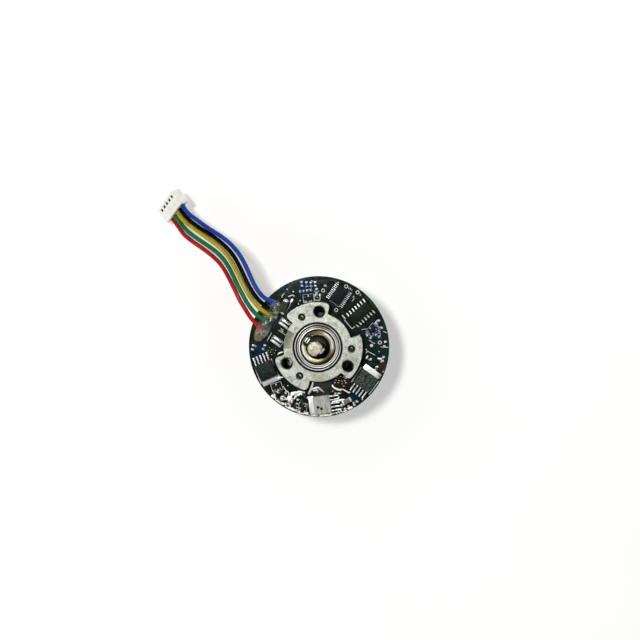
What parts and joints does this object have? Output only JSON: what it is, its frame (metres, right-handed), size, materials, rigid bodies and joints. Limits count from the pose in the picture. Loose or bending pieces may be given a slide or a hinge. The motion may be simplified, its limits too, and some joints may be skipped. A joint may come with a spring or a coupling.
{
  "type": "brushless dc motor",
  "caption": "Flat outer-rotor brushless motor with a die-cast bracket, a round driver board around the shaft and a five-wire lead with a plug.",
  "frame": {"origin": "where the output shaft's axis meets the mounting face of the bracket", "axes": "+Z out along the output shaft, +Y through the first mounting hole, right handed"},
  "size_m": [0.0877, 0.0797, 0.029],
  "materials": {
    "bracket_casting": "satin",
    "tube_metal": "satin",
    "rivet_metal": "satin",
    "board_laminate": "gloss",
    "lamination_steel": "satin",
    "insulator_plastic": "matte",
    "winding_enamel": "gloss",
    "tinned_metal": "satin",
    "race_steel": "gloss",
    "cage_brass": "satin",
    "spring_steel": "satin",
    "clip_steel": "satin",
    "shaft_steel": "satin",
    "hub_brass": "satin",
    "cup_steel": "satin",
    "magnet_ferrite": "matte",
    "chip_plastic": "matte",
    "capacitor_ceramic": "satin",
    "resistor_ceramic": "gloss",
    "hot_glue": "gloss",
    "blue_pvc": "gloss",
    "black_pvc": "gloss",
    "yellow_pvc": "gloss",
    "green_pvc": "gloss",
    "red_pvc": "gloss",
    "plug_plastic": "satin"
  },
  "bodies": {
    "stator": {"mounting_bracket": "bracket_casting", "bearing_tube": "tube_metal", "board_rivets": "rivet_metal", "circuit_board": "board_laminate", "stator_core": "lamination_steel", "front_insulator": "insulator_plastic", "rear_insulator": "insulator_plastic", "windings": "winding_enamel", "phase_pins": "tinned_metal", "hall_sensors": "chip_plastic", "front_outer_race": "race_steel", "front_bearing_shields": "tinned_metal", "rear_outer_race": "race_steel", "rear_bearing_shields": "tinned_metal", "preload_washer": "spring_steel", "power_chip_bodies": "chip_plastic", "power_chip_tabs": "tinned_metal", "power_chip_leads": "tinned_metal", "controller_body": "chip_plastic", "controller_leads": "tinned_metal", "logic_chip_body": "chip_plastic", "logic_chip_leads": "tinned_metal", "surge_diode": "chip_plastic", "regulator": "chip_plastic", "shunt_resistors": "resistor_ceramic", "small_transistors": "chip_plastic", "chip_capacitors": "capacitor_ceramic", "chip_resistors": "resistor_ceramic", "supply_capacitor": "capacitor_ceramic", "solder_joints": "tinned_metal", "wire_glue": "hot_glue", "wire_blue": "blue_pvc", "wire_black": "black_pvc", "wire_yellow": "yellow_pvc", "wire_green": "green_pvc", "wire_red": "red_pvc", "connector_housing": "plug_plastic", "crimp_terminals": "tinned_metal"},
    "rotor": {"output_shaft": "shaft_steel", "retaining_clip": "clip_steel", "front_inner_race": "race_steel", "rear_inner_race": "race_steel", "rotor_hub": "hub_brass", "rotor_cup": "cup_steel", "magnet_ring": "magnet_ferrite"},
    "front_ball_set": {"front_balls": "race_steel", "front_ball_cage": "cage_brass"},
    "rear_ball_set": {"rear_balls": "race_steel", "rear_ball_cage": "cage_brass"}
  },
  "joints": [
    {"name": "rotor_spin", "type": "hinge", "parent": "stator", "child": "rotor", "pos_m": [0, 0, 0], "axis": [0, 0, 1], "continuous": true},
    {"name": "front_ball_roll", "type": "hinge", "parent": "stator", "child": "front_ball_set", "pos_m": [0, 0, -0.0032], "axis": [0, 0, 1], "continuous": true},
    {"name": "rear_ball_roll", "type": "hinge", "parent": "stator", "child": "rear_ball_set", "pos_m": [0, 0, -0.0151], "axis": [0, 0, 1], "continuous": true}
  ],
  "couplings": [
    {"joint": "front_ball_roll", "follows": "rotor_spin", "ratio": 0.3913},
    {"joint": "rear_ball_roll", "follows": "rotor_spin", "ratio": 0.3913}
  ]
}
